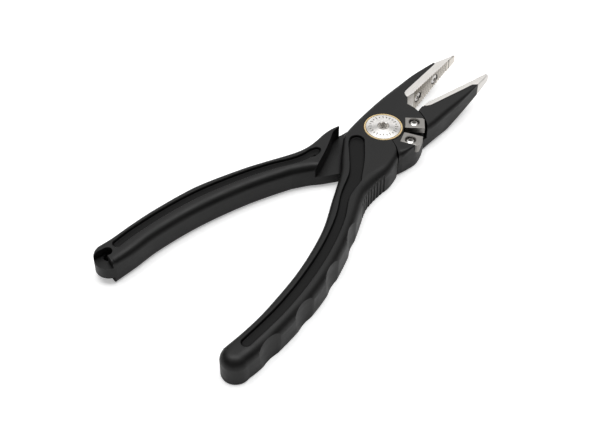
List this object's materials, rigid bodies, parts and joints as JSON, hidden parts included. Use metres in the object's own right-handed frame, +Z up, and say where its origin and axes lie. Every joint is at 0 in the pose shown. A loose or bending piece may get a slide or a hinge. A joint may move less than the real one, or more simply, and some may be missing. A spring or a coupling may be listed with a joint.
{
  "type": "fishing pliers",
  "caption": "Spring-open fishing pliers with screwed-on jaw inserts, side cutters and scalloped handles; the halves turn on one flanged pivot and the left handle has a lanyard hole.",
  "frame": {"origin": "on the pivot axis, at the underside the pliers rest on", "axes": "+Z up along the pivot axis, +Y towards the jaws along the line midway between the open halves, +X to the right, towards the handle with finger scallops"},
  "size_m": [0.0772, 0.1835, 0.0127],
  "materials": {
    "body": "black anodised, satin",
    "insert": "satin stainless steel",
    "cutter": "ground carbide",
    "screw": "polished stainless steel",
    "bolt": "polished stainless steel",
    "bush": "machined bronze",
    "spring": "spring wire",
    "thrust": "low-friction plastic"
  },
  "bodies": {
    "upper": {"upper_body": "body", "left_jaw_insert": "insert", "left_jaw_front_screw": "screw", "left_jaw_rear_screw": "screw", "upper_cutter": "cutter", "upper_cutter_screw": "screw", "upper_bush": "bush", "pivot_bolt": "bolt", "pivot_nut": "bolt", "tension_washer": "spring", "thrust_washer": "thrust", "opening_spring": "spring"},
    "lower": {"lower_body": "body", "right_jaw_insert": "insert", "right_jaw_front_screw": "screw", "right_jaw_rear_screw": "screw", "lower_cutter": "cutter", "lower_cutter_screw": "screw", "lower_bush": "bush"}
  },
  "joints": [
    {"name": "plier_pivot", "type": "hinge", "parent": "upper", "child": "lower", "pos_m": [0, 0, 0.006], "axis": [0, 0, 1], "range_deg": [0, 17.3], "stiffness_Nm_per_rad": 0.12, "deforming": ["opening_spring"]}
  ]
}
